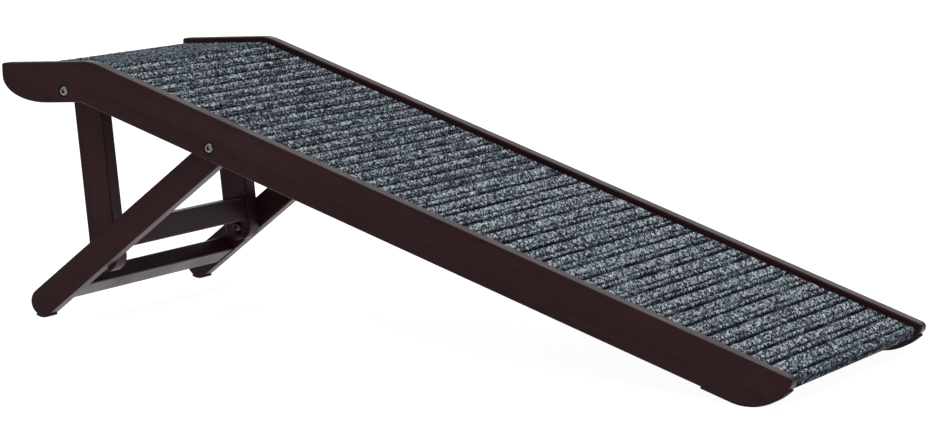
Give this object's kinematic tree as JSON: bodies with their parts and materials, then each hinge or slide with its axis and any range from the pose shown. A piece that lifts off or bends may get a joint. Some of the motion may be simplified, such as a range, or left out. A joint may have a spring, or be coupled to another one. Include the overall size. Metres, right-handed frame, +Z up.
{
  "type": "folding pet ramp",
  "caption": "Low wooden pet ramp with a short platform and a ribbed carpet deck between raised side boards, on a leg frame and prop frame that fold flat underneath.",
  "frame": {"origin": "on the floor, under the middle of the ramp's length and width", "axes": "+X down the ramp to its low end, +Y towards the right side board (left is -Y), +Z up"},
  "size_m": [0.9402, 0.4012, 0.2914],
  "materials": {
    "painted_wood": "espresso stain under semi-gloss lacquer",
    "deck_board": "thin plywood, stained to match",
    "dowel_wood": "plain beech",
    "ribbed_carpet": "ribbed needle-felt, salt and pepper blue-grey",
    "rubber": "matt black",
    "black_steel": "black oxide, satin",
    "zinc_steel": "zinc plated",
    "nylon": "natural nylon"
  },
  "bodies": {
    "ramp": {"side_board_left": "painted_wood", "side_board_right": "painted_wood", "ramp_ledger_left": "painted_wood", "ramp_ledger_right": "painted_wood", "platform_ledger_left": "painted_wood", "platform_ledger_right": "painted_wood", "ramp_panel": "deck_board", "platform_panel": "deck_board", "carpet": "ribbed_carpet", "platform_stretcher": "painted_wood", "mid_stretcher": "painted_wood", "low_stretcher": "painted_wood", "nose_pad_left": "rubber", "nose_pad_right": "rubber", "ledger_screws": "zinc_steel", "panel_nails": "zinc_steel", "prop_spacers": "painted_wood", "brace_washers": "nylon"},
    "brace_frame": {"brace_leg_left": "painted_wood", "brace_leg_right": "painted_wood", "lower_rail": "painted_wood", "lower_rail_dowels": "dowel_wood", "foot_pad_left": "rubber", "foot_pad_right": "rubber", "brace_pivot_bolts": "black_steel", "brace_inserts": "zinc_steel", "hook_bolts": "black_steel", "hook_inserts": "zinc_steel"},
    "prop_frame": {"prop_leg_left": "painted_wood", "prop_leg_right": "painted_wood", "upper_rail": "painted_wood", "upper_rail_dowels": "dowel_wood", "prop_pivot_bolts": "black_steel", "prop_inserts": "zinc_steel"}
  },
  "joints": [
    {"name": "brace_fold", "type": "hinge", "parent": "ramp", "child": "brace_frame", "pos_m": [-0.20455, 0, 0.20954], "axis": [0, -1, 0], "range_deg": [0, 121]},
    {"name": "prop_fold", "type": "hinge", "parent": "ramp", "child": "prop_frame", "pos_m": [-0.38875, 0, 0.25722], "axis": [0, -1, 0], "range_deg": [0, 65.5]}
  ],
  "couplings": [
    {"joint": "prop_fold", "follows": "brace_fold", "ratio": 0.5413}
  ]
}
